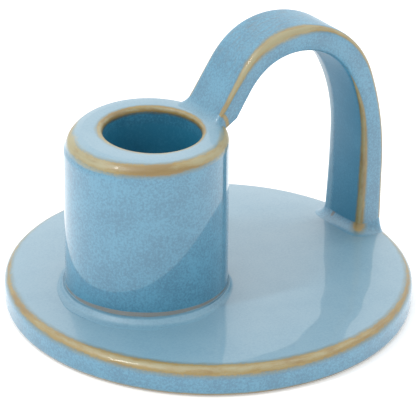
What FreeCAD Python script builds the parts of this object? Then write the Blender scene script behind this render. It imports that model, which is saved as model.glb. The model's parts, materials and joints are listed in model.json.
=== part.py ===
"""Chamberstick with finger loop, in glazed stoneware.

A slab plate carries a thrown candle socket, and a flat strap of clay rises from the socket's
rim, loops over and comes down at the plate's rim. Coils and fillets of slip cover the three
joints. Millimetres, +Z up, origin at the centre of the plate's foot. +X runs from the socket
towards the strap's foot.
"""
import FreeCAD, Part
import math
import os

V = FreeCAD.Vector

# Plate
plate_radius = 50.0
plate_thickness = 7.9
rim_fall_width = 10.0
rim_fall = 0.8
rim_round = 1.9
foot_round = 1.0
foot_ring_width = 9.0
foot_recess = 1.0
recess_round = 0.8

# Candle socket, measured from the plate's top and centre
socket_distance = 17.0
side_offset = 1.5
socket_height = 39.5
socket_wall = 7.5
socket_flare = 0.2
socket_edge_round = 2.8
bore_radius = 12.0
bore_shift = 1.3
bore_lip_round = 1.3

# Slip coil round the socket's foot
coil_width = 4.6
coil_height = 2.0
coil_crown = 0.35

# Finger loop, a strap in one upright plane
strap_width = 15.0
strap_side_shift = 0.75
strap_crown_thickness = 6.3
strap_leg_thickness = 6.9
strap_foot_thickness = 7.6
strap_edge_bevel = 0.8
strap_landing_gap = 0.2
strap_underside_gap = 2.0
strap_lip_drop = 1.5
strap_lip_rise = 0.5
loop_rise = 19.9
loop_leg_inset = 0.6
outer_leg_height = 17.0
inner_leg_height = 24.0

# Turns of the strap's faces, in degrees from level
outer_rise_angle = 56.0
inner_rise_angle = 58.0
outer_fall_angle = 70.0
inner_fall_angle = 60.0

# Slip fillets at the strap's two ends
foot_slip_radius = 3.0
shoulder_slip_radius = 2.6
slip_skin = 0.15
slip_side_gap = 0.6

# Narrow flats that stand for a quarter circle on the turned edges and in the slip fillets
edge_flat_count = 4
fillet_flat_count = 3

# The crown of the loop stands at this share of the way from the socket's axis to the leg
crown_share = 0.58

# The strap's edges are bevelled at most to this share of its thickness at the shoulder
edge_bevel_share = 0.4

# Overrun of cuts and of ends that another piece trims
overrun = 5.0

plate_top = plate_thickness
socket_radius = bore_radius + socket_wall
socket_x = -socket_distance
socket_top = plate_top + socket_height
bore_x = socket_x + bore_shift
leg_x = plate_radius - loop_leg_inset
crown_x = socket_x + crown_share * (leg_x - socket_x)
loop_top = socket_top + loop_rise
landing_x = bore_x + bore_radius + bore_lip_round + strap_landing_gap
wall_x = socket_x + socket_radius
underside_x = wall_x + strap_underside_gap
strap_y = side_offset + strap_side_shift


def unit(degrees):
    """Cosine and sine of an angle in degrees."""
    turn = math.radians(degrees)
    return math.cos(turn), math.sin(turn)


def at(x, z):
    """A point in the upright plane of the profiles."""
    return V(x, 0, z)


def line(a, b):
    return Part.LineSegment(a, b).toShape()


def arc(a, middle, b):
    return Part.Arc(a, middle, b).toShape()


def on_circle(centre, radius, start, end, count):
    """Points about a centre from one angle to another, in degrees from +X towards +Z."""
    points = []
    for step in range(count + 1):
        c, s = unit(start + (end - start) * step / count)
        points.append(centre + V(radius * c, 0, radius * s))
    return points


def around(centre, radius, start, end):
    """Arc about a centre from one angle to another."""
    return arc(*on_circle(centre, radius, start, end, 2))


def turned_round(centre, radius, start, end):
    """Edges of narrow flats about a centre, from one angle to another."""
    points = on_circle(centre, radius, start, end, edge_flat_count)
    return [line(a, b) for a, b in zip(points, points[1:])]


def closed_face(edges):
    return Part.Face(Part.Wire(Part.__sortEdges__(edges)))


def turned(edges, x=0, y=0):
    """Solid of revolution about the upright axis through (x, y), from edges drawn at y = 0."""
    solid = closed_face(edges).revolve(V(0, 0, 0), V(0, 0, 1), 360)
    solid.translate(V(x, y, 0))
    return solid


def two_turns(turn, across, down):
    """Radii of two tangent arcs that go from level, through the turn, to upright."""
    c, s = unit(turn)
    size = s * c - (1 - s) * (1 - c)
    first = (c * across - (1 - s) * down) / size
    second = (s * down - (1 - c) * across) / size
    return first, second


def arc_and_line(turn, across, down):
    """Radius of an arc that turns from level, and the straight run after it."""
    c, s = unit(turn)
    size = s * s - c * (1 - c)
    radius = (s * across - c * down) / size
    run = (s * down - (1 - c) * across) / size
    return radius, run


def base_plate():
    """Slab plate: flat in the middle, falling gently to a rounded rim, on a turned foot ring."""
    flat = plate_radius - rim_fall_width
    shoulder = plate_radius - rim_round
    shoulder_z = plate_top - rim_fall
    ring_inner = plate_radius - foot_ring_width
    edges = [
        line(at(0, foot_recess), at(0, plate_top)),
        line(at(0, plate_top), at(flat, plate_top)),
        line(at(flat, plate_top), at(shoulder, shoulder_z)),
        *turned_round(at(shoulder, shoulder_z - rim_round), rim_round, 90, 0),
        line(at(plate_radius, shoulder_z - rim_round), at(plate_radius, foot_round)),
        *turned_round(at(plate_radius - foot_round, foot_round), foot_round, 0, -90),
        line(at(plate_radius - foot_round, 0), at(ring_inner, 0)),
        line(at(ring_inner, 0), at(ring_inner - recess_round, foot_recess)),
        line(at(ring_inner - recess_round, foot_recess), at(0, foot_recess)),
    ]
    return turned(edges)


def socket_body():
    """Outside of the socket, without its bore: a flared wall under a rounded top edge."""
    foot = socket_radius + socket_flare
    wall_top = socket_top - socket_edge_round
    flat = socket_radius - socket_edge_round
    edges = [
        line(at(0, plate_top), at(foot, plate_top)),
        line(at(foot, plate_top), at(socket_radius, wall_top)),
        *turned_round(at(flat, wall_top), socket_edge_round, 0, 90),
        line(at(flat, socket_top), at(0, socket_top)),
        line(at(0, socket_top), at(0, plate_top)),
    ]
    return turned(edges, socket_x, side_offset)


def bore_space(reach=0):
    """Room for the candle, with a rounded lip at the mouth, or a plain cylinder past the lip."""
    height = socket_height + overrun
    lip = bore_radius + bore_lip_round
    if reach:
        centre = V(bore_x, side_offset, plate_top)
        return Part.makeCylinder(lip + reach, height + loop_rise, centre)
    lip_z = socket_top - bore_lip_round
    edges = [
        line(at(0, plate_top - overrun), at(bore_radius, plate_top - overrun)),
        line(at(bore_radius, plate_top - overrun), at(bore_radius, lip_z)),
        *turned_round(at(lip, lip_z), bore_lip_round, 180, 90),
        line(at(lip, socket_top), at(lip, socket_top + overrun)),
        line(at(lip, socket_top + overrun), at(0, socket_top + overrun)),
        line(at(0, socket_top + overrun), at(0, plate_top - overrun)),
    ]
    return turned(edges, bore_x, side_offset)


def socket_foot_coil(socket):
    """Coil of slip pressed into the corner between the socket's wall and the plate."""
    wall = socket_radius + socket_flare
    inner = wall - socket_edge_round
    outer = wall + coil_width
    top_z = plate_top + coil_height
    crown = at((wall + outer) / 2 + coil_crown, (plate_top + top_z) / 2 + coil_crown)
    edges = [
        line(at(inner, plate_top), at(outer, plate_top)),
        line(at(outer, plate_top), crown),
        line(crown, at(wall, top_z)),
        line(at(wall, top_z), at(inner, top_z)),
        line(at(inner, top_z), at(inner, plate_top)),
    ]
    return turned(edges, socket_x, side_offset).cut(socket)


def face_path(top_z, foot_x, leg_z, shoulder, rise, fall):
    """One face of the strap: points and arcs from the shoulder, over the crown, to the leg."""
    crown = at(crown_x, top_z)
    first, second = two_turns(fall, foot_x - crown_x, top_z - leg_z)
    near, run = arc_and_line(rise, crown_x - shoulder.x, top_z - shoulder.z)
    c, s = unit(rise)
    rise_end = crown + V(-near * s, 0, near * (c - 1))
    c, s = unit(fall)
    turn_end = crown + V(first * s, 0, first * (c - 1))
    leg_end = at(foot_x, leg_z)
    edges = [
        line(shoulder, rise_end),
        around(crown - V(0, 0, near), near, 90 + rise, 90),
        around(crown - V(0, 0, first), first, 90, 90 - fall),
        around(leg_end - V(second, 0, 0), second, 90 - fall, 0),
    ]
    return edges, leg_end


def loop_handle(plate, socket):
    """Flat strap of clay: rises from the socket's rim, bends over and stands on the plate."""
    outer_start = at(landing_x, socket_top)
    inner_start = at(underside_x, socket_top + strap_lip_rise)
    inner_x = leg_x - strap_leg_thickness
    outer, outer_end = face_path(
        loop_top, leg_x, plate_top + outer_leg_height, outer_start, outer_rise_angle, outer_fall_angle
    )
    inner, inner_end = face_path(
        loop_top - strap_crown_thickness,
        inner_x,
        plate_top + inner_leg_height,
        inner_start,
        inner_rise_angle,
        inner_fall_angle,
    )
    sunk = plate_top - rim_fall - rim_round
    outer_foot = at(leg_x, sunk)
    inner_foot = at(leg_x - strap_foot_thickness, sunk)
    run = (wall_x - landing_x) / 2
    slope = (strap_lip_drop + strap_lip_rise) / strap_underside_gap
    lip = at(wall_x - run, socket_top - strap_lip_drop - run * slope)
    root = at(landing_x, lip.z)
    edges = outer + inner + [
        line(outer_end, outer_foot),
        line(outer_foot, inner_foot),
        line(inner_foot, inner_end),
        line(inner_start, lip),
        line(lip, root),
        line(root, outer_start),
    ]
    strap = closed_face(edges).extrude(V(0, strap_width, 0))
    strap.translate(V(0, strap_y - strap_width / 2, 0))
    c, s = unit(outer_rise_angle)
    shoulder_thickness = (underside_x - landing_x) * s - strap_lip_rise * c
    edge_bevel = min(strap_edge_bevel, edge_bevel_share * shoulder_thickness)
    strap = strap.makeChamfer(edge_bevel, long_edges(strap))
    rim = Part.makeCylinder(plate_radius, loop_top + overrun)
    return strap.common(rim).cut(plate).cut(socket)


def long_edges(strap):
    """Edges of the strap's two side faces, apart from those of its two ends."""
    sunk = plate_top - rim_fall - rim_round
    low_shoulder = socket_top + strap_lip_rise
    chosen = []
    for edge in strap.Edges:
        middle = edge.valueAt((edge.FirstParameter + edge.LastParameter) / 2)
        along = abs(edge.tangentAt(edge.FirstParameter).y)
        at_foot = middle.z < sunk + strap_edge_bevel
        at_shoulder = middle.x < underside_x and middle.z < low_shoulder
        if along < 1 / 2 and not at_foot and not at_shoulder:
            chosen.append(edge)
    return chosen


def rounded_outline(x_low, x_high, half_width, corner, z):
    """Rounded rectangle in a level plane, about the strap's middle line."""
    y_low = strap_y - half_width
    y_high = strap_y + half_width
    c = corner * (1 - math.sqrt(1 / 2))
    near = [V(x_low + corner, y_low, z), V(x_high - corner, y_low, z)]
    right = [V(x_high, y_low + corner, z), V(x_high, y_high - corner, z)]
    far = [V(x_high - corner, y_high, z), V(x_low + corner, y_high, z)]
    left = [V(x_low, y_high - corner, z), V(x_low, y_low + corner, z)]
    edges = [
        line(*near),
        arc(near[1], V(x_high - c, y_low + c, z), right[0]),
        line(*right),
        arc(right[1], V(x_high - c, y_high - c, z), far[0]),
        line(*far),
        arc(far[1], V(x_low + c, y_high - c, z), left[0]),
        line(*left),
        arc(left[1], V(x_low + c, y_low + c, z), near[0]),
    ]
    return Part.Wire(edges)


def slip_skirt(base_z, radius, sunk, section):
    """Concave fillet round the strap: outlines that draw in as a quarter circle while they rise.

    section gives the strap's low and high x at a height. The lowest outline is sunk straight down,
    so that the neighbour's own surface can trim it.
    """
    outlines = []
    for step in range(-1, fillet_flat_count + 1):
        c, s = unit(90 * max(step, 0) / fillet_flat_count)
        spread = radius * (1 - s) + slip_skin
        level = base_z + radius * (1 - c)
        x_low, x_high = section(level)
        z = level if step >= 0 else base_z - sunk
        corner = strap_edge_bevel + spread
        outlines.append(
            rounded_outline(x_low - spread, x_high + spread, strap_width / 2 + spread, corner, z)
        )
    return Part.makeLoft(outlines, True, True)


def handle_foot_slip(plate, handle):
    """Slip worked round the strap's foot, trimmed to the plate's rim."""

    def section(z):
        return leg_x - strap_foot_thickness, leg_x

    skirt = slip_skirt(plate_top - rim_fall, foot_slip_radius, rim_round, section)
    rim = Part.makeCylinder(plate_radius - slip_skin, plate_thickness + overrun)
    return skirt.common(rim).cut(plate).cut(handle)


def handle_shoulder_slip(socket, handle):
    """Slip worked round the strap's root, down to the rounded edge of the socket's rim."""
    c, s = unit(outer_rise_angle)

    def section(z):
        lean = (z - socket_top) * c / s
        return landing_x + lean, wall_x + lean - slip_side_gap

    skirt = slip_skirt(socket_top, shoulder_slip_radius, socket_edge_round, section)
    axis = V(socket_x, side_offset, plate_top)
    rim = Part.makeCylinder(socket_radius - slip_side_gap, socket_height + loop_rise, axis)
    return skirt.common(rim).cut(bore_space(strap_landing_gap)).cut(handle).cut(socket)


def main():
    os.makedirs("parts", exist_ok=True)
    plate = base_plate()
    body = socket_body()
    handle = loop_handle(plate, body)
    pieces = {
        "base_plate": plate,
        "candle_socket": body.cut(bore_space()),
        "socket_foot_coil": socket_foot_coil(body),
        "loop_handle": handle,
        "handle_foot_slip": handle_foot_slip(plate, handle),
        "handle_shoulder_slip": handle_shoulder_slip(body, handle),
    }
    for name, shape in pieces.items():
        shape = shape.removeSplitter()
        box = shape.BoundBox
        print(name, len(shape.Solids), shape.isValid(), round(shape.Volume), box)
        shape.exportStep("parts/" + name + ".step")


main()
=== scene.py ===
"""Looks of the glazed stoneware chamberstick: every clay part remade as a fine skin, under one blue glaze.

Each skin carries what the glaze reads as attributes. break is 1 on the crest of an edge where the glaze
ran thin, and 0 at the border of its brown band. warm turns that band from pale tan to ochre. stain is
brown in the creases, clay is the bare foot ring, and pool makes level faces milky and lighter: partly
glaze that pools there, partly a painted sheen of the bright sky. milk is a painted strip of light in
milky glaze, matt is glaze that mirrors less and, where it is full, is painted in a darker inner blue as
painted shade, and run is the way that the streaks run.
"""

import json

import bpy
import numpy as np
from mathutils import Matrix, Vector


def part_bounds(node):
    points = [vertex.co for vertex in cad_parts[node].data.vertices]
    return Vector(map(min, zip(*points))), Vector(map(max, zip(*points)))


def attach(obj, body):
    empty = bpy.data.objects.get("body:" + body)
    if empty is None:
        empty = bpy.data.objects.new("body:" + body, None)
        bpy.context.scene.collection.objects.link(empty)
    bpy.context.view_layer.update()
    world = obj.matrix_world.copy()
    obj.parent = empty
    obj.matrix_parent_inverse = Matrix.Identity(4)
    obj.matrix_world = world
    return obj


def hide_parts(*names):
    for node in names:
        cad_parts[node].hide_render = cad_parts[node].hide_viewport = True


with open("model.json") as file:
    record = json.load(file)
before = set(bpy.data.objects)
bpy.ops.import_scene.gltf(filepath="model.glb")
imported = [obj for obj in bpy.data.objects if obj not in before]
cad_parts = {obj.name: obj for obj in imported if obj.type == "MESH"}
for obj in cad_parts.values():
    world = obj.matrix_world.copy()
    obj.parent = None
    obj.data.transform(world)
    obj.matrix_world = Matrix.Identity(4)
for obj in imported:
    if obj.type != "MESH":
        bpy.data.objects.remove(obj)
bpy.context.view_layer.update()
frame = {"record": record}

# A millimetre in metres, and what the attribute break is far outside a band
MM = 0.001
FAR = -4.0


def part_box(node):
    """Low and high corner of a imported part, in millimetres."""
    return [np.array(corner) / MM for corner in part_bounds(node)]


# Directions in the plan, seen from the camera
camera_azimuth = np.radians(-34.0)
camera_front = camera_azimuth - np.pi / 2
camera_left = camera_azimuth + np.pi

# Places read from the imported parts, in millimetres
plate_high = part_box("base_plate")[1]
socket_low, socket_high = part_box("candle_socket")
strap_low, strap_high = part_box("loop_handle")
bore = next(m for m in frame["record"]["mounts"] if m["name"] == "candle_bore")

plate_radius = plate_high[0]
plate_top = plate_high[2]
socket_top = socket_high[2]
socket_foot_radius = (socket_high[0] - socket_low[0]) / 2
socket_centre = (socket_low[:2] + socket_high[:2]) / 2
bore_centre = np.array(bore["pos_m"][:2]) / MM
bore_radius = bore["dims"]["r_mm"]
strap_near = strap_low[1]
leg_x = strap_high[0]
loop_top = strap_high[2]

# Counts of points and of tries, and the fine and coarse steps of the outlines
plate_around = 400
socket_around = 320
strap_rings = 280
arc_steps = 40
skirt_steps = 26
centre_tries = 6
plate_steps = (0.25, 1.4)
socket_steps = (0.22, 1.0)
strap_steps = (0.16, 0.5)

# Plate. A ripple is its turn per millimetre in x and in y, and its phase
rim_fall = 0.8
rim_fall_width = 10.0
rim_trim = 2.2
foot_trim = 1.9
foot_ring_width = 9.0
foot_recess = 1.0
recess_round = 0.8
recess_trim = 0.6
ring_trim = 0.4
ring_touch = 0.2
rim_power = 4
rim_sag = 0.7
rim_sag_angle = 0.7
plate_wave = 0.12
plate_edge_wave = 0.1
plate_ripple = 0.03
ripples = ((0.37, 0.23, 1.0), (-0.19, 0.35, 0.4))
rim_band = 1.7
rim_band_fade = 0.9
rim_crest_in_share = 0.5
rim_crest_down_share = 0.1
foot_band = 0.5
foot_band_share = 0.6
plate_warm = 0.8

# Socket
socket_radius = 19.6
socket_sunk = 0.3
socket_lean = 0.05
socket_trim = 2.7
rim_dome = 0.15
rim_crest_share = 0.35
rim_crest_trim = 1.2
lip_trim = 1.3
rim_rise = 1.1
rim_rise_power = 2.5
rim_rise_depth = 6.0
rim_wave = 0.03
wall_wave = 0.03
wall_wave_blend = 3.0
wall_margin = 1.0
worn_corner = 0.85
worn_corner_reach = 3.0
worn_corner_angle = camera_left + 0.3
bore_dent = 1.1
bore_dent_angle = camera_front - 0.75
socket_band = 1.7
socket_band_fade = 0.7
socket_warm = 1.1
socket_warm_angle = camera_front + 0.15
bore_band = 0.95
bore_warm_power = 0.7
# Depth and blend of the bore's painted shade, where its glaze also mirrors less
bore_matt_shade_depth = 1.5
bore_matt_shade_blend = 2.0
band_matt = 0.8
lip_stain = 0.6
lip_stain_depth = 1.4
lip_stain_reach = 0.9
crease_share = 0.65
crease_blend = 0.7

# Coil of clay round the socket's foot. Its section is in shares of its width and of its height
coil_height = 1.9
coil_mean_share = 0.55
coil_swing_share = 0.45
coil_height_wave = 0.1
coil_mean_width = 2.1
coil_front_swell = 1.7
coil_oval_swell = 0.8
coil_left_swell = 0.3
coil_width_wave = 0.25
coil_overlap = 0.05
coil_shares = [(-0.6, -0.3), (0, 1), (0.12, 0.55), (0.42, 0.7), (0.72, 0.12), (1.1, -0.06), (1.12, -0.3)]
coil_trim_shares = (0.05, 0.09, 0.18, 0.16, 0.01)
coil_step_shares = (0.02, 0.06)
groove_stain = 1.4
groove_share = 0.06
groove_half_share = 0.08
groove_turn = -0.1
border_stain = 0.5
border_share = 0.9
border_half_share = 0.08
coil_pool_and_sheen = 0.8
coil_matt = 0.95

# Strap. A place along it is 0 at the shoulder, 1 at the crown and 2 at the foot.
# A root is its x and its depth under the socket's top, and a wave its height, its rate and its phase
strap_crown_thickness = 6.3
strap_leg_thickness = 6.9
strap_foot_thickness = 7.6
strap_crown_width = 14.6
strap_foot_width = 15.3
strap_outer_trim = 2.0
strap_inner_trim = 1.2
strap_far_trim = 2.0
strap_inset = 0.02
strap_side_inset = 0.06
strap_side_room = 0.1
strap_waves = ((0.05, 9, 1), (0.03, 17, 2))
strap_shoulder_x = -2.2
strap_underside_x = 4.5
strap_lip_rise = 0.5
outer_root = ((-2.0, 2.6),)
inner_root = ((-1.0, 2.8), (0.2, 1.9), (2.6, 0.6))
crown_x = 21.4
outer_leg_height = 17.0
inner_leg_height = 24.0
outer_rise, inner_rise = np.radians(56.0), np.radians(58.0)
outer_fall, inner_fall = np.radians(70.0), np.radians(60.0)
strap_sunk = 2.6
inner_belly = 0.6
belly_start = 0.5
belly_share = 0.68
belly_far_stretch = 1.25
crown_matt = 0.74
crown_matt_place = 1.0
smudge = 0.45
smudge_place = 0.8
# Painted strip of light along the far inner edge: where its border lies, how it waves, and how soft it is
light_edge_share = 0.5
light_edge_wave = 0.07
light_edge_rate = 11
light_edge_blend = 0.12

# Tables of the strap by place: the widths of the bands on its near outer, near inner and far outer edge,
# how warm they are, and how strong the painted strip of light on its far inner edge is
near_outer_band = {0.0: 0.45, 0.35: 0.7, 0.8: 1.6, 1.0: 1.4, 1.12: 0.65, 2.0: 0.6}
near_inner_band = {0.0: 0.01, 1.28: 0.01, 1.45: 0.65, 1.7: 0.95, 2.0: 1.0}
far_outer_band = {0.0: 0.9, 0.5: 0.5, 0.7: 0.35, 1.1: 0.35, 1.2: 0.5, 2.0: 0.5}
strap_warm = {0.0: 1.0, 0.3: 0.6, 0.6: 0.3, 1.0: 0.3, 1.15: 0.8, 2.0: 0.5}
light_edge_painted_light = {0.9: 0.0, 1.1: 1.0, 1.7: 0.8, 2.0: 0.2}

# Both fillets of slip. Their hidden edge is this thick
skirt_edge = 0.5

# Slip round the strap's foot. Shifts are from the foot's near inner corner on the plate's top
foot_slip_height = 3.2
foot_slip_reach = 3.2
foot_slip_wave = 0.5
foot_slip_margin = 0.55
foot_slip_sunk = 0.08
foot_slip_inset = 0.05
foot_slip_pull_share = 0.6
foot_slip_under_in = 1.5
foot_slip_under_down = 2.2
foot_slip_pool_and_sheen = 0.4
foot_slip_matt = 0.4
band_end_shift = (0.1, 0.3, 1.6)
band_end_reach = 2.0
drip_shifts = ((-0.3, 9.2, 2.4), (-1.0, 9.8, 0.8))
drip_reach = 0.9
drip_stain = 1.5

# Slip over the strap's root
shoulder_slip_height = 3.1
shoulder_slip_reach = 2.2
shoulder_slip_side = 1.17
shoulder_slip_level = 0.1
shoulder_slip_far_gain = 0.1
shoulder_slip_bore_margin = 0.95
shoulder_slip_wall_margin = 0.6
shoulder_slip_sunk = 0.1
shoulder_slip_inset = 0.04
shoulder_slip_hidden = 2.5
shoulder_slip_hidden_start = 0.1
shoulder_slip_out_share = 0.55
shoulder_slip_down_share = 0.5
shoulder_slip_under_in = 3.2
shoulder_slip_under_down = 2.2
shoulder_slip_matt = 0.5
shoulder_slip_warm = 0.9

# Line where that slip ends on the strap's near side. A point is its x, how far it stands inside that side
# and its height, which is over the socket's top for two of them and over the rim's surface for the last
slip_line = ((-0.1, 0, shoulder_slip_height), (1.2, 0, 1.0), (1.9, -0.2, -0.3))
slip_line_rim_x = 1.8
slip_line_reach = 0.5

# Linear colours of the glaze
glaze_deep = (0.002, 0.135, 0.24, 1.0)
# Darker inner blue: painted shade in the bore and on the strap's inner face
glaze_inner_shade = (0.0, 0.165, 0.285, 1.0)
glaze_light = (0.03, 0.225, 0.36, 1.0)
# Lighter milky blue: partly glaze pooled on level faces, partly a painted sky sheen, and the painted strip of
# light
glaze_milky_lit = (0.14, 0.27, 0.35, 1.0)
break_olive = (0.085, 0.125, 0.095, 1.0)
break_ochre = (0.23, 0.142, 0.0, 1.0)
break_pale = (0.27, 0.245, 0.12, 1.0)
break_dark = (0.14, 0.07, 0.0, 1.0)
crease_brown = (0.08, 0.055, 0.02, 1.0)
bare_clay = (0.42, 0.33, 0.24, 1.0)

# Scales of the glaze's patterns, per metre on the object and per millimetre of a run, and its finish
mottle_scale = 160.0
speck_scale = 1900.0
streak_scale = 0.3
patch_scale = 0.08
streak_stretch = 4
glaze_roughness = 0.5
clay_roughness = 0.3
coat_roughness = 0.012
glaze_ior = 1.6
glaze_mirror = 1.0

# What a skin carries where its piece says nothing else
plain_marks = {"break": FAR, "stain": 0.0, "clay": 0.0, "pool": 0.0, "milk": 0.0, "matt": 0.0, "warm": 0.5}


# Shapes

def unit(value):
    """The value, kept between 0 and 1."""
    return np.clip(value, 0, 1)


def full_turn(count):
    """count angles at even steps round a circle."""
    return np.linspace(0, 2 * np.pi, count, endpoint=False)


def straight_run(start, end, step):
    """Points from start up to, but not on, end, at about the given step."""
    count = int(np.ceil(np.linalg.norm(end - start) / step))
    return np.linspace(start, end, count, endpoint=False)


def rounded_path(corners, trims, fine, coarse):
    """Points along a polygon whose corners are turned by parabolic arcs.

    Each corner P with trim t becomes the quadratic curve (1-s)^2 A + 2 s (1-s) P + s^2 B, where A and
    B lie t before and after P on its two sides. Curves take the fine step, straight runs the coarse one.
    """
    corners = np.asarray(corners, float)
    pieces = []
    last = corners[0]
    for before, corner, after, trim in zip(corners, corners[1:], corners[2:], trims):
        a = corner + (before - corner) / np.linalg.norm(before - corner) * trim
        b = corner + (after - corner) / np.linalg.norm(after - corner) * trim
        s = np.linspace(0, 1, int(2 * trim / fine) + 4)[:-1, None]
        pieces.append(straight_run(last, a, coarse))
        pieces.append((1 - s) ** 2 * a + 2 * s * (1 - s) * corner + s**2 * b)
        last = b
    pieces.append(straight_run(last, corners[-1], coarse))
    pieces.append(corners[-1:])
    return np.concatenate(pieces)


def path_length(points):
    """Distance of each point from the first, along a polyline."""
    return np.concatenate([[0], np.cumsum(np.linalg.norm(np.diff(points, axis=0), axis=1))])


def even(points, count):
    """count points at even steps along a polyline."""
    along = path_length(points)
    places = np.linspace(0, along[-1], count)
    return np.stack([np.interp(places, along, points[:, k]) for k in range(points.shape[1])], axis=1)


def turn_wave(angle, waves, seed):
    """Uneven hand-made wave round a circle, from -1 to 1: a mean of sines with seeded phases."""
    phases = np.random.default_rng(seed).uniform(0, 2 * np.pi, len(waves))
    return np.mean([np.sin(n * angle + p) for n, p in zip(waves, phases)], axis=0)


def lobe(angle, middle, power):
    """1 in one direction and 0 opposite it: the mean of 1 and the cosine, to a power."""
    return ((1 + np.cos(angle - middle)) / 2) ** power


def band(points, crest, reach):
    """1 on the crest and 0 at reach from it, falling on in a straight line to FAR."""
    return np.maximum(1 - np.linalg.norm(points - np.asarray(crest), axis=-1) / reach, FAR)


def line_band(points, line, reach):
    """1 on a polyline in space and 0 at reach from it, by the distance to its nearest piece."""
    nearest = np.full(points.shape[:-1], np.inf)
    for a, b in zip(line, line[1:]):
        share = unit(((points - a) @ (b - a)) / ((b - a) @ (b - a)))
        nearest = np.minimum(nearest, np.linalg.norm(points - a - share[..., None] * (b - a), axis=-1))
    return np.maximum(1 - nearest / reach, FAR)


def skin(name, grid, hubs=None, **marks):
    """A closed mesh from a grid of points in millimetres: rings along the first axis, round the second.

    Rings close on themselves. The last ring joins the first, or, with hubs, each end ring is closed by
    a fan of triangles to its hub. marks are attributes: numbers or vectors that fit the grid. Those left
    out are plain, and run is the grid itself.
    """
    rings, around = grid.shape[:2]
    index = np.arange(rings * around).reshape(rings, around)
    upper = index[1:] if hubs is not None else np.roll(index, -1, axis=0)
    lower = index[:-1] if hubs is not None else index
    quads = [lower, np.roll(lower, -1, axis=1), np.roll(upper, -1, axis=1), upper]
    quads = np.stack(quads, axis=-1).reshape(-1, 4)
    points = grid.reshape(-1, 3)
    fans = np.empty((0, 3), int)
    if hubs is not None:
        first, last = np.full(around, len(points)), np.full(around, len(points) + 1)
        fans = np.concatenate([
            np.stack([first, np.roll(index[0], -1), index[0]], axis=-1),
            np.stack([last, index[-1], np.roll(index[-1], -1)], axis=-1),
        ])
        points = np.concatenate([points, np.asarray(hubs, float)])
    a, b, c, d = (points[quads[:, k]] for k in range(4))
    volume = np.sum(a * (np.cross(b, c) + np.cross(c, d)))
    if volume < 0:
        quads, fans = quads[:, ::-1], fans[:, ::-1]
    mesh = bpy.data.meshes.new(name)
    mesh.from_pydata((points * MM).tolist(), [], quads.tolist() + fans.tolist())
    for label, value in {**plain_marks, "run": grid, **marks}.items():
        vector = label == "run"
        size = 3 if vector else 1
        value = value if vector else np.asarray(value, float)[..., None]
        value = np.broadcast_to(value, (rings, around, size))
        ends = np.empty((0, size))
        if hubs is not None:
            ends = [value[0].mean(axis=0), value[-1].mean(axis=0)]
        value = np.concatenate([value.reshape(-1, size), ends]).astype(np.float32)
        layer = mesh.attributes.new(label, "FLOAT_VECTOR" if vector else "FLOAT", "POINT")
        layer.data.foreach_set("vector" if vector else "value", value.reshape(-1))
    mesh.polygons.foreach_set("use_smooth", np.ones(len(mesh.polygons), bool))
    mesh.update()
    piece = bpy.data.objects.new(name, mesh)
    bpy.context.scene.collection.objects.link(piece)
    return piece


def edge_run(profile, angle, radius):
    """Vector that follows an edge round a circle and changes streak_stretch times as fast across it."""
    across = np.broadcast_to(streak_stretch * path_length(profile)[:, None], (len(profile), len(angle)))
    x = np.broadcast_to(radius * np.cos(angle), across.shape)
    y = np.broadcast_to(radius * np.sin(angle), across.shape)
    return np.stack([x, y, across], axis=-1)


def plate_profile():
    """Outline of the slab from the middle of its underside round the rim to the middle of its top."""
    ring_inner = plate_radius - foot_ring_width
    corners = [
        (0, foot_recess),
        (ring_inner - recess_round, foot_recess),
        (ring_inner, 0),
        (plate_radius, 0),
        (plate_radius, plate_top - rim_fall),
        (plate_radius - rim_fall_width, plate_top),
        (0, plate_top),
    ]
    trims = (recess_trim, ring_trim, foot_trim, rim_trim, rim_fall_width / 2)
    return rounded_path(corners, trims, *plate_steps)


def plate_lift(radius, angle):
    """How far the hand-made plate lies under its true top: low ripples, and a rim that sags on one side.

    The ripple is 1 plus the product of two sines in the plan. The sag grows from the plate's middle with
    the radius to a power.
    """
    x, y = radius * np.cos(angle), radius * np.sin(angle)
    first, second = (np.sin(by_x * x + by_y * y + phase) for by_x, by_y, phase in ripples)
    ripple = plate_ripple * (1 + first * second)
    sag = plate_wave - plate_wave * turn_wave(angle, (1, 2, 4, 9), seed=5)
    sag = sag + rim_sag * lobe(angle, rim_sag_angle, 2)
    return ripple + sag * unit(radius / plate_radius) ** rim_power


def plate_surface(plan):
    """Height of the plate's top under points of the plan."""
    radius = np.linalg.norm(plan, axis=1)
    top = plate_profile()
    top = top[top[:, 1] > plate_top / 2][::-1]
    angle = np.arctan2(plan[:, 1], plan[:, 0])
    return np.interp(radius, top[:, 0], top[:, 1]) - plate_lift(radius, angle)


def base_plate():
    """Revolve of the slab's profile, with a slow wave in its height and its radius.

    The rim's brown band is wide at the front, narrow at the sides and almost gone at the back.
    """
    profile = plate_profile()[1:-1]
    angle = full_turn(plate_around)
    radius, height = profile[:, :1], profile[:, 1:]
    upper = unit((height - foot_recess) / (plate_top - foot_recess))
    drawn_in = plate_edge_wave - plate_edge_wave * turn_wave(angle, (2, 3, 5, 7), seed=3)
    r = radius - (radius / plate_radius) ** rim_power * drawn_in
    z = height - upper * plate_lift(radius, angle)
    grid = np.stack([r * np.cos(angle), r * np.sin(angle), z], axis=-1)
    rim_crest = (
        plate_radius - rim_trim * rim_crest_in_share,
        plate_top - rim_fall - rim_trim * rim_crest_down_share,
    )
    foot_crest = (plate_radius - foot_trim / 4, foot_trim / 4)
    foot_edge = band(profile, foot_crest, foot_band) * foot_band_share
    edge = np.maximum(band(profile, rim_crest, rim_band), foot_edge)[:, None]
    edge = edge - rim_band_fade * (1 - lobe(angle, camera_front, 2))
    marks = {
        "break": edge,
        "clay": height < ring_touch,
        "pool": 1.0,
        "warm": plate_warm,
        "run": edge_run(profile, angle, plate_radius),
    }
    return skin("base_plate_skin", grid, [(0, 0, foot_recess), (0, 0, plate_top)], **marks)


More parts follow.
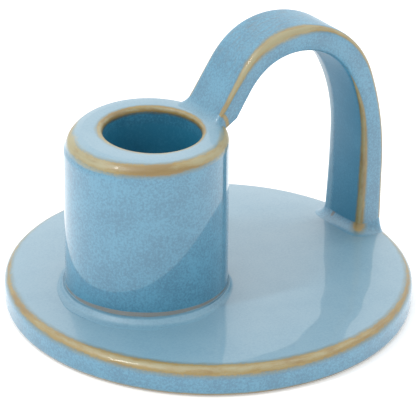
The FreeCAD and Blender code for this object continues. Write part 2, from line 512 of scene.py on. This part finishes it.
def socket_profile():
    """Outline of the socket's wall: up the outside, over the domed rim and down the bore."""
    sunk = plate_top - socket_sunk
    crest = bore_radius + rim_crest_share * (socket_radius - bore_radius)
    corners = [
        (socket_foot_radius, sunk),
        (socket_radius - socket_lean, socket_top - rim_dome),
        (crest, socket_top),
        (bore_radius, socket_top - rim_dome),
        (bore_radius, sunk),
    ]
    return rounded_path(corners, (socket_trim, rim_crest_trim, lip_trim), *socket_steps)


def rim_centre(radius):
    """Centre of the ring of this radius: it slides from the socket's axis to the bore's across the rim."""
    outer = socket_radius - socket_trim
    slide = unit((outer - radius) / (outer - bore_radius))
    return socket_centre + slide[..., None] * (bore_centre - socket_centre)


def rim_lift(offset):
    """How far the hand-made rim stands over its true height: it rises towards the back, faster and faster."""
    back = offset @ np.array([-np.cos(camera_front), -np.sin(camera_front)])
    share = unit((back + socket_radius) / (2 * socket_radius))
    angle = np.arctan2(offset[..., 1], offset[..., 0])
    return rim_rise * share**rim_rise_power - rim_wave + rim_wave * turn_wave(angle, (1, 2, 3, 5), seed=13)


def rim_surface(plan):
    """Height of the socket's rim under points of the plan, by the ring that passes through them."""
    offset = plan - socket_centre
    for _ in range(centre_tries):
        offset = plan - rim_centre(np.linalg.norm(offset, axis=1))
    radius = np.linalg.norm(offset, axis=1)
    top = socket_profile()
    top = top[top[:, 1] > socket_top - socket_trim][::-1]
    return np.interp(radius, top[:, 0], top[:, 1]) + rim_lift(plan - socket_centre)


def coil_rise(angle):
    """Height of the coil at its wall: a cosine round the socket, highest at the front."""
    return coil_height * (coil_mean_share + coil_swing_share * np.cos(angle - camera_front))


def candle_socket():
    """Revolve whose centre slides from the socket's axis to the bore's while its profile crosses the rim.

    The corner is worn away on the left, and the bore has a dent. The rim's two edges are brown, and so
    are the crease over the coil and a line under the bore's lip. The bands mirror less. Deep in the bore the
    glaze mirrors less and is painted in a darker inner blue as painted shade.
    """
    profile = socket_profile()
    angle = full_turn(socket_around)
    radius, height = profile[:, :1], profile[:, 1:]
    centre = rim_centre(profile[:, 0])
    outside = unit((radius - bore_radius - lip_trim) / wall_wave_blend)
    top_share = unit((height - socket_top + rim_rise_depth) / rim_rise_depth)
    outer_crest = (socket_radius - socket_trim / 4, socket_top - rim_dome - socket_trim / 4)
    bore_crest = (bore_radius + lip_trim / 4, socket_top - rim_dome - lip_trim / 4)
    near_corner = unit(band(profile, outer_crest, worn_corner_reach))[:, None]
    worn = worn_corner * near_corner**0.5 * lobe(angle, worn_corner_angle, 3)
    r = radius - outside * (wall_wave - wall_wave * turn_wave(angle, (2, 3, 5), seed=11)) - worn
    r = r - (1 - outside) * bore_dent * lobe(angle, bore_dent_angle, 4)
    x = centre[:, :1] + r * np.cos(angle)
    y = centre[:, 1:] + r * np.sin(angle)
    z = height + top_share * rim_lift(np.stack([x, y], axis=-1) - socket_centre) - worn
    outer_band = band(profile, outer_crest, socket_band)[:, None]
    inner_band = band(profile, bore_crest, bore_band)[:, None]
    edge = np.maximum(outer_band - socket_band_fade * (1 - lobe(angle, camera_front, 1.5)), inner_band)
    outer_warm = socket_warm * lobe(angle, socket_warm_angle, 8)
    inner_warm = lobe(angle, camera_front + np.pi, bore_warm_power)
    crease = unit(1 - (height - plate_top - coil_rise(angle) * crease_share) / crease_blend)
    crease = crease * (radius > socket_radius - wall_margin)
    under_lip = unit(band(profile, (bore_radius, socket_top - lip_stain_depth), lip_stain_reach))
    # Painted shade: deep in the bore the glaze takes the darker inner blue
    inside = unit((socket_top - bore_matt_shade_depth - height) / bore_matt_shade_blend)
    inside = inside * (radius < bore_radius + wall_margin)
    marks = {
        "break": edge,
        "stain": np.maximum(crease, under_lip[:, None] * lip_stain),
        "pool": 1.0,
        "matt": np.maximum(inside, unit(np.maximum(outer_band, inner_band)) * band_matt),
        "warm": np.where(outer_band > inner_band, outer_warm, inner_warm),
        "run": edge_run(profile, angle, socket_radius),
    }
    return skin("candle_socket_skin", np.stack([x, y, z], axis=-1), **marks)


def socket_foot_coil():
    """Revolve of a low pressed coil: a groove at the wall, then a rounded band that thins onto the plate.

    Its width goes round the socket as a sum of cosines, widest towards the front.
    """
    profile = rounded_path(coil_shares, coil_trim_shares, *coil_step_shares)
    share, rise = profile[:, :1], profile[:, 1:]
    angle = full_turn(socket_around)
    turn = angle - camera_front
    width = coil_mean_width + coil_front_swell * np.cos(turn) + coil_oval_swell * np.cos(2 * turn)
    width = width - coil_left_swell * np.sin(turn) + coil_width_wave * turn_wave(angle, (5, 8, 13), seed=17)
    height = coil_rise(angle) + coil_height_wave * turn_wave(angle, (3, 4, 7, 11), seed=19)
    r = socket_foot_radius - coil_overlap + share * width
    x = socket_centre[0] + r * np.cos(angle)
    y = socket_centre[1] + r * np.sin(angle)
    grid = np.stack([x, y, plate_top + rise * height], axis=-1)
    groove_half = groove_half_share + groove_half_share * lobe(turn, groove_turn, 6)
    groove = unit(groove_stain - groove_stain * np.abs(share - groove_share) / groove_half)
    groove = groove * (1 + lobe(turn, 0, 2)) / 2
    border = unit(1 - np.abs(share - border_share) / border_half_share) * border_stain * lobe(turn, 0, 2)
    marks = {"stain": np.maximum(groove, border), "pool": coil_pool_and_sheen, "matt": coil_matt}
    return skin("socket_foot_coil_skin", grid, **marks)


def arc_points(centre, radius, start, end):
    """Points of an arc in the strap's upright plane, from one angle to another."""
    turn = np.linspace(start, end, arc_steps)
    return np.stack([centre[0] + radius * np.cos(turn), centre[1] + radius * np.sin(turn)], axis=-1)


def strap_face(top_z, foot_x, leg_z, root, shoulder, rise, fall):
    """One face of the strap: root, straight rise, arc to the crown, two tangent arcs down, upright leg.

    The first arc after the crown turns through fall and the second through the rest of a right angle,
    with the radii that end the pair at foot_x and leg_z.
    """
    across, down = foot_x - crown_x, top_z - leg_z
    c, s = np.cos(fall), np.sin(fall)
    size = s * c - (1 - s) * (1 - c)
    first = (c * across - (1 - s) * down) / size
    second = (s * down - (1 - c) * across) / size
    c, s = np.cos(rise), np.sin(rise)
    near = (s * (crown_x - shoulder[0]) - c * (top_z - shoulder[1])) / (s * s - c * (1 - c))
    right = np.pi / 2
    return np.concatenate([
        np.array([(x, socket_top - depth) for x, depth in root] + [shoulder]),
        arc_points((crown_x, top_z - near), near, right + rise, right),
        arc_points((crown_x, top_z - first), first, right, right - fall),
        arc_points((foot_x - second, leg_z), second, right - fall, 0),
        np.array([(foot_x, plate_top - strap_sunk)]),
    ])


def strap_grid():
    """Rings of the strap, with the place of each along it, and its section.

    A ring is a rounded rectangle. Its depth runs from the inner face line to the outer one, paired at
    even steps along both, and its width from the near side, which is flat, to the far one. From halfway
    to the crown the inner face bellies more and more, by a parabola across it.
    """
    outer = even(strap_face(
        loop_top - strap_inset,
        leg_x - strap_inset,
        plate_top + outer_leg_height,
        outer_root,
        (strap_shoulder_x, socket_top),
        outer_rise,
        outer_fall,
    ), strap_rings)
    inner = even(strap_face(
        loop_top - strap_crown_thickness,
        leg_x - strap_leg_thickness,
        plate_top + inner_leg_height,
        inner_root,
        (strap_underside_x, socket_top + strap_lip_rise),
        inner_rise,
        inner_fall,
    ), strap_rings)
    toward_foot = unit((plate_top + inner_leg_height - inner[:, 1]) / inner_leg_height) ** 2
    toward_foot[: strap_rings // 2] = 0
    inner[:, 0] -= toward_foot * (strap_foot_thickness - strap_leg_thickness)
    crown = np.argmax(outer[:, 1]) / (strap_rings - 1)
    place = np.interp(np.linspace(0, 1, strap_rings), [0, crown, 1], [0, 1, 2])[:, None]
    w, d = strap_crown_width / 2, strap_crown_thickness / 2
    corners = [(0, d), (w, d), (w, -d), (-w, -d), (-w, d), (0, d)]
    trims = (strap_outer_trim, strap_far_trim, strap_inner_trim, strap_outer_trim)
    section = rounded_path(corners, trims, *strap_steps)[:-1]
    across, depth = (section[:, 0] + w) / (2 * w), section[:, 1] / d
    width = np.interp(place, [0, 1, 2], [strap_crown_width, strap_crown_width, strap_foot_width])
    swell = sum(height * np.sin(rate * place + phase) for height, rate, phase in strap_waves)
    y = strap_near + strap_side_inset + across * (width - strap_side_room) + swell
    side = across - belly_share
    belly = 1 - (side / np.where(side < 0, belly_share, belly_far_stretch * (1 - belly_share))) ** 2
    belly = inner_belly * belly * unit(-depth) ** 4 / d
    reach = depth - belly * unit(place - belly_start)
    middle, half = (outer + inner) / 2, (outer - inner) / 2
    x = middle[:, :1] + half[:, :1] * reach
    z = middle[:, 1:] + half[:, 1:] * reach
    return np.stack([x, y, z], axis=-1), place, section


def by_place(place, table):
    """Values along the strap, in straight lines between those of a table."""
    return np.interp(place, list(table), list(table.values()))


def strap_bands(place, section):
    """Brown bands of the strap's edges, each with a width that changes along the strap.

    The near outer edge is brown from the shoulder over the crown and thin down the leg, the near inner
    one from the crown down. The far outer edge has a thin line.
    """
    half_width, half_depth = strap_crown_width / 2, strap_crown_thickness / 2
    edge = np.full((len(place), len(section)), FAR)
    for side, face, table in ((-1, 1, near_outer_band), (-1, -1, near_inner_band), (1, 1, far_outer_band)):
        inset = (strap_outer_trim if face > 0 else strap_inner_trim) / 4
        crest = np.array([side * (half_width - inset), face * (half_depth - inset)])
        distance = np.linalg.norm(section - crest, axis=1)
        edge = np.maximum(edge, 1 - distance / by_place(place, table))
    return edge


def shoulder_line():
    """Line in space where the slip ends on the strap's near side, from its outer edge to the rim's edge."""
    rim = rim_surface(np.array([[slip_line_rim_x, strap_near]]))[0]
    under = (socket_top, socket_top, rim)
    return np.array([(x, strap_near + y, level + z) for (x, y, z), level in zip(slip_line, under)])


def loop_handle():
    """The strap's rings, closed by hubs that are sunk in the socket and in the plate.

    Its inner face mirrors less and is painted in a darker inner blue as painted shade, but for a painted
    strip of light on the far edge, whose border waves. The crown is less of a mirror than the rest, and
    lightly smudged.
    """
    grid, place, section = strap_grid()
    edge = np.maximum(strap_bands(place, section), line_band(grid, shoulder_line(), slip_line_reach))
    along = path_length(grid[:, 0])[:, None]
    across = streak_stretch * path_length(section)[None, :]
    side, depth = section[:, 0] / (strap_crown_width / 2), section[:, 1] / (strap_crown_thickness / 2)
    outer, inner = unit(depth), unit(-depth)
    border = light_edge_share - light_edge_wave * np.sin(light_edge_rate * place)
    far_side = unit((side - border) / light_edge_blend)
    crown = outer**2 * crown_matt * lobe(2 * place, 2 * crown_matt_place, 2)
    marks = {
        "break": edge,
        "stain": outer**4 * smudge * lobe(2 * place, 2 * smudge_place, 2),
        # Painted strip of light on the far inner edge, and painted shade on the rest of the inner face
        "milk": far_side * inner * by_place(place, light_edge_painted_light),
        "matt": np.maximum(inner**2 * (1 - far_side), crown),
        "warm": by_place(place, strap_warm),
        "run": np.stack(np.broadcast_arrays(along, across, 0.0), axis=-1),
    }
    return skin("loop_handle_skin", grid, grid[[0, -1]].mean(axis=1), **marks)


def crossing(columns, level):
    """Points where columns of rising points pass a level of their own, and their direction there."""
    above = np.clip(np.argmax(columns[:, :, 2] > level, axis=0), 1, None)
    which = np.arange(columns.shape[1])
    low, high = columns[above - 1, which], columns[above, which]
    share = (level - low[:, 2]) / (high[:, 2] - low[:, 2])
    direction = (high - low) / np.linalg.norm(high - low, axis=1, keepdims=True)
    return low + share[:, None] * (high - low), direction


def outward(outline):
    """Level directions that point out of a closed outline in the plan."""
    tangent = np.roll(outline, -1, axis=0) - np.roll(outline, 1, axis=0)
    normal = np.stack([tangent[:, 1], -tangent[:, 0]], axis=-1)
    normal /= np.linalg.norm(normal, axis=1, keepdims=True)
    from_middle = np.sum(normal * (outline - outline.mean(axis=0)))
    return normal * np.sign(from_middle)


def at_height(plan, height):
    """Points or directions of the plan, given one height or a height for each."""
    return np.column_stack([plan, np.broadcast_to(height, len(plan))])


def skirt(top, down, foot, out, under):
    """Closed fillet: cubic curves that leave the ring top along down and reach the ring foot along out.

    Each curve is (1-s)^3 T + 3 s (1-s)^2 (T + down) + 3 s^2 (1-s) (F - out) + s^3 F. From the foot the
    skin goes back under the ring named under, which is hidden, and up to the top again.
    """
    s = np.linspace(0, 1, skirt_steps)[:, None, None]
    first, second = top + down, foot - out
    curve = (1 - s) ** 3 * top + 3 * s * (1 - s) ** 2 * first + 3 * s**2 * (1 - s) * second + s**3 * foot
    return np.concatenate([curve, (foot - (0, 0, skirt_edge))[None], under[None]])


def handle_foot_slip():
    """Slip drawn out round the strap's foot: a concave skirt that lands on the plate's own surface.

    The strap's near band ends on it, and one drip runs down its inner side.
    """
    grid, _, section = strap_grid()
    columns = grid[len(grid) // 2:][::-1]
    turn = full_turn(len(section))
    height = foot_slip_height + foot_slip_wave * turn_wave(turn, (2, 3, 5), seed=23)
    top, rise = crossing(columns, plate_top - rim_fall + height)
    base = crossing(columns, np.full(len(section), plate_top - rim_fall))[0][:, :2]
    direction = outward(base)
    reach = foot_slip_reach + foot_slip_wave * turn_wave(turn, (2, 3, 4), seed=29)
    landing = base + direction * reach[:, None]
    radius = np.linalg.norm(landing, axis=1, keepdims=True)
    landing = landing * np.minimum(1, (plate_radius - foot_slip_margin) / radius)
    foot = at_height(landing, plate_surface(landing) - foot_slip_sunk)
    top[:, :2] -= direction * foot_slip_inset
    down = -rise * height[:, None] * foot_slip_pull_share
    out = at_height((landing - base) * foot_slip_pull_share, 0)
    under = at_height(base - direction * foot_slip_under_in, plate_top - foot_slip_under_down)
    shape = skirt(top, down, foot, out, under)
    corner = np.array([leg_x - strap_foot_thickness, strap_near, plate_top])
    drip = line_band(shape, corner + np.array(drip_shifts), drip_reach)
    marks = {
        "break": band(shape, corner + band_end_shift, band_end_reach),
        "stain": unit(drip_stain * drip),
        "pool": foot_slip_pool_and_sheen,
        "matt": foot_slip_matt,
        "warm": 1.0,
    }
    return skin("handle_foot_slip_skin", shape, **marks)


def handle_shoulder_slip():
    """Slip worked over the strap's root: it runs from the outer face and the sides onto the socket's rim.

    Its height and reach are full on the outer face and fall to nothing along the two sides. Its landing
    is kept off the bore and inside the socket's wall. On the inner side, where there is no slip, the
    skin is drawn into the strap.
    """
    grid, _, section = strap_grid()
    columns = grid[: len(grid) // 3]
    side, depth = section[:, 0] / (strap_crown_width / 2), section[:, 1] / (strap_crown_thickness / 2)
    amount = unit(1 - (1 - depth) / shoulder_slip_side)
    height = shoulder_slip_height * amount
    level = socket_top - shoulder_slip_level
    top, rise = crossing(columns, level + height)
    base = crossing(columns, np.full(len(section), level))[0][:, :2]
    direction = outward(base)
    reach = shoulder_slip_reach * amount * (1 + shoulder_slip_far_gain * side)
    landing = base + direction * reach[:, None]
    least, most = bore_radius + shoulder_slip_bore_margin, socket_radius - shoulder_slip_wall_margin
    from_bore = landing - bore_centre
    distance = np.linalg.norm(from_bore, axis=1, keepdims=True)
    landing = bore_centre + from_bore * np.maximum(1, least / distance)
    from_socket = landing - socket_centre
    distance = np.linalg.norm(from_socket, axis=1, keepdims=True)
    landing = socket_centre + from_socket * np.minimum(1, most / distance)
    foot = at_height(landing, rim_surface(landing) - shoulder_slip_sunk)
    inward = at_height(direction, 0)
    hidden = unit(-depth - shoulder_slip_hidden_start)[:, None] ** 0.5 * shoulder_slip_hidden
    top -= inward * (hidden + shoulder_slip_inset)
    foot -= inward * hidden
    down = -rise * height[:, None] * shoulder_slip_down_share
    out = at_height((landing - base) * shoulder_slip_out_share, 0)
    under = at_height(base - direction * shoulder_slip_under_in, socket_top - shoulder_slip_under_down)
    shape = skirt(top, down, foot, out, under)
    marks = {
        "break": line_band(shape, shoulder_line(), slip_line_reach),
        "pool": unit(1 - (shape[:, :, 2] - socket_top) / shoulder_slip_height),
        "matt": shoulder_slip_matt,
        "warm": shoulder_slip_warm,
    }
    return skin("handle_shoulder_slip_skin", shape, **marks)


def main():
    """Make the six pieces, each in its node's place, and give them the one glaze."""
    pieces = {
        "base_plate": base_plate(),
        "candle_socket": candle_socket(),
        "socket_foot_coil": socket_foot_coil(),
        "loop_handle": loop_handle(),
        "handle_foot_slip": handle_foot_slip(),
        "handle_shoulder_slip": handle_shoulder_slip(),
    }
    glaze = blue_glaze()
    for node, piece in pieces.items():
        piece.data.materials.append(glaze)
        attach(piece, "root")
        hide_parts(node)


# Glaze

class Value:
    """A shader socket in an expression: + - * and powers add Math nodes."""

    def __init__(self, tree, socket):
        self.tree = tree
        self.socket = socket

    def math(self, operation, *others):
        return self.tree.node("ShaderNodeMath", {"operation": operation}, dict(enumerate((self, *others))))

    def __add__(self, other):
        return self.math("ADD", other)

    def __sub__(self, other):
        return self.math("SUBTRACT", other)

    def __mul__(self, other):
        return self.math("MULTIPLY", other)

    def __pow__(self, other):
        return self.math("POWER", other)

    __radd__ = __add__
    __rmul__ = __mul__

    def __rsub__(self, other):
        return self.tree.node("ShaderNodeMath", {"operation": "SUBTRACT"}, {0: other, 1: self})


class Tree:
    """Nodes of a material or of the world, added one call at a time."""

    def __init__(self, name, owners=bpy.data.materials, shader="Principled BSDF"):
        self.owner = owners.new(name)
        self.owner.use_nodes = True
        self.nodes = self.owner.node_tree.nodes
        self.links = self.owner.node_tree.links
        self.shader = self.nodes[shader]

    def fill(self, made, sockets):
        """Link a value of this tree to each named socket of a node, or set the socket itself."""
        for key, value in sockets.items():
            if isinstance(value, Value):
                self.links.new(value.socket, made.inputs[key])
            else:
                made.inputs[key].default_value = value

    def node(self, kind, settings=None, sockets=None, output=0):
        made = self.nodes.new(kind)
        for key, value in (settings or {}).items():
            setattr(made, key, value)
        self.fill(made, sockets or {})
        return Value(self, made.outputs[output])

    def smooth(self, value, low, high):
        sockets = {"Value": value, "From Min": low, "From Max": high}
        return self.node("ShaderNodeMapRange", {"interpolation_type": "SMOOTHSTEP"}, sockets)

    def noise(self, place, scale, detail, roughness=0.5):
        sockets = {"Vector": place, "Scale": scale, "Detail": detail, "Roughness": roughness}
        return self.node("ShaderNodeTexNoise", {}, sockets)

    def blend(self, factor, first, second):
        sockets = {"Factor": factor, 6: first, 7: second}
        return self.node("ShaderNodeMix", {"data_type": "RGBA"}, sockets, output=2)

    def attribute(self, name, output=2):
        return self.node("ShaderNodeAttribute", {"attribute_name": name}, output=output)


def blue_glaze():
    """Glossy blue glaze with fine specks, that breaks to brown where the attribute break is high.

    Specks and a slow mottle mix the deep and the light blue. Level faces turn milky and lighter, partly
    from pooled glaze and partly as a painted sheen of the bright sky, and the painted strip of light is
    milky too. Where the attribute matt is full, the glaze takes the darker inner blue as painted shade. From
    the border of a band inwards it turns olive, then ochre, then pale tan, less so where it is warm, with
    some darker places. The gloss is a coat over a base of middling roughness. It is weaker on milky glaze
    and in the bands, and gone on bare clay and where matt is full.
    """
    tree = Tree("blue_glaze")
    place = tree.node("ShaderNodeTexCoord", output=3)
    edge, stain, clay, pool, milk, matt, warm = (tree.attribute(name) for name in plain_marks)
    run = tree.attribute("run", output=1)
    normal = tree.node("ShaderNodeNewGeometry", output=1)
    level = tree.node("ShaderNodeSeparateXYZ", {}, {0: normal}, output=2)
    mottle = tree.noise(place, mottle_scale, 3.0)
    specks = tree.noise(place, speck_scale, 2.0, 0.7)
    streaks = tree.noise(run, streak_scale, 4.0, 0.65)
    patches = tree.noise(run, patch_scale, 2.0)
    tone = tree.smooth(mottle * 0.3 + specks * 0.7, 0.38, 0.62)
    # Painted light: up-facing faces turn milky and lighter, partly pooled glaze and partly a painted sky
    # sheen, plus the painted strip of light
    milky = tree.smooth(level, 0.2, 0.95) * pool + milk
    # Painted shade: where matt is full the glaze takes the darker inner blue
    inner = tree.smooth(matt, 0.96, 1.0)
    ragged = edge + (streaks - 0.5) * 0.7 + (specks - 0.5) * 0.5
    fringe = tree.smooth(ragged, -0.55, 0.05)
    ochre = tree.smooth(ragged, -0.05, 0.35)
    pale = tree.smooth(ragged + (patches - 0.5) * 1.4 + (streaks - 0.5) * 1.2 - warm, -0.7, 0.6)
    dark = tree.smooth(1 - patches * 0.75 - streaks * 0.25 + warm * 0.08, 0.52, 0.7)
    worn = tree.smooth(stain + (streaks - 0.5) * 0.9, 0.3, 0.9)
    colour = tree.blend(tone, glaze_deep, glaze_light)
    colour = tree.blend(milky * (0.8 + tone * 0.2), colour, glaze_milky_lit)
    colour = tree.blend(inner * (0.85 - tone * 0.35), colour, glaze_inner_shade)
    colour = tree.blend(fringe * 0.7, colour, break_olive)
    colour = tree.blend(ochre, colour, break_ochre)
    colour = tree.blend(pale * 0.9, colour, break_pale)
    colour = tree.blend(dark * ochre * 0.5, colour, break_dark)
    colour = tree.blend(worn * 0.75, colour, crease_brown)
    colour = tree.blend(clay, colour, bare_clay)
    tree.fill(tree.shader, {
        "Base Color": colour,
        "Roughness": glaze_roughness + clay * clay_roughness,
        "Coat Weight": (1 - milky * 0.35) * (1 - clay) * (1 - matt) * (1 - ochre * 0.45),
        "Coat Roughness": coat_roughness,
        "IOR": glaze_ior,
        "Specular IOR Level": glaze_mirror,
    })
    return tree.owner


# Stage. Its lengths are in metres

white = (1.0, 1.0, 1.0, 1.0)
sky_strength = 1.03
sky_glow = 0.6
sky_glow_power = 1.5
sky_rise = np.radians(50.0)
floor_side = 12
floor_paint = (0.9, 0.9, 0.9, 1.0)
floor_glow = 0.2
lamp_width, lamp_height = 0.04, 0.28
lamp_energy = 2.0
lamp_place = (-0.53, 0.05, 0.73)


def floor():
    """Wide level floor, rough white and faintly glowing."""
    bpy.ops.mesh.primitive_plane_add(size=floor_side)
    plane = bpy.context.object
    plane.name = "floor"
    paint = Tree("floor_white")
    paint.fill(paint.shader, {
        "Base Color": floor_paint,
        "Roughness": 1.0,
        "Emission Color": white,
        "Emission Strength": floor_glow,
    })
    plane.data.materials.append(paint.owner)


def studio():
    """White surroundings, brighter high up behind the object, and one narrow upright lamp on the left.

    The brighter part is the cosine of the angle to its middle, to a power. The lamp makes the short
    highlights.
    """
    sky = Tree("studio", bpy.data.worlds, "Background")
    across, away = np.cos(sky_rise) * np.sin(-camera_azimuth), np.cos(sky_rise) * np.cos(camera_azimuth)
    direction = sky.node("ShaderNodeTexCoord", output=0)
    sockets = {0: direction, 1: (across, away, np.sin(sky_rise))}
    toward = sky.node("ShaderNodeVectorMath", {"operation": "DOT_PRODUCT"}, sockets, output=1)
    glow = toward.math("MAXIMUM", 0.0) ** sky_glow_power
    sky.fill(sky.shader, {"Strength": sky_strength + sky_glow * glow, "Color": white})
    bpy.context.scene.world = sky.owner
    light = bpy.data.lights.new("lamp", "AREA")
    light.shape = "RECTANGLE"
    light.size, light.size_y = lamp_width, lamp_height
    light.energy = lamp_energy
    lamp = bpy.data.objects.new("lamp", light)
    lamp.location = lamp_place
    lamp.rotation_euler = (-lamp.location).to_track_quat("-Z", "Y").to_euler()
    bpy.context.scene.collection.objects.link(lamp)


# Camera fitted to the plate's two rims in the photograph, in its pixels, millimetres and degrees.
# It sees what is between two distances in metres
photo_side = 416
focal_pixels = 2450.58
plate_pixel = (208.547, 264.615)
camera_distance = 600.0
camera_elevation = np.radians(27.886)
camera_roll = np.radians(0.666)
sensor_width = 36
clip_near, clip_far = 0.05, 50


def camera():
    """Long lens at the photograph's angle, aimed so that the plate's top centre falls on its pixel."""
    a, e, roll = camera_azimuth, camera_elevation, camera_roll
    back = np.array([np.sin(a) * np.cos(e), -np.cos(a) * np.cos(e), np.sin(e)])
    level = np.array([np.cos(a), np.sin(a), 0])
    rise = np.cross(back, level)
    right = np.cos(roll) * level + np.sin(roll) * rise
    up = -np.sin(roll) * level + np.cos(roll) * rise
    right_by = plate_pixel[0] - photo_side / 2
    down_by = plate_pixel[1] - photo_side / 2
    back_turned = back * focal_pixels + right * right_by - up * down_by
    back_turned /= np.linalg.norm(back_turned)
    up_turned = up - back_turned * (up @ back_turned)
    up_turned /= np.linalg.norm(up_turned)
    right_turned = np.cross(up_turned, back_turned)
    lens = bpy.data.cameras.new("camera")
    lens.sensor_width = sensor_width
    lens.lens = focal_pixels / photo_side * sensor_width
    lens.clip_start, lens.clip_end = clip_near, clip_far
    eye = bpy.data.objects.new("camera", lens)
    spot = (np.array([0, 0, plate_top]) + back * camera_distance) * MM
    turn = np.column_stack([right_turned, up_turned, back_turned, spot])
    eye.matrix_world = Matrix(np.vstack([turn, [0, 0, 0, 1]]).tolist())
    bpy.context.scene.collection.objects.link(eye)
    bpy.context.scene.camera = eye


main()
floor()
studio()
camera()
bpy.context.scene.view_settings.view_transform = "Standard"
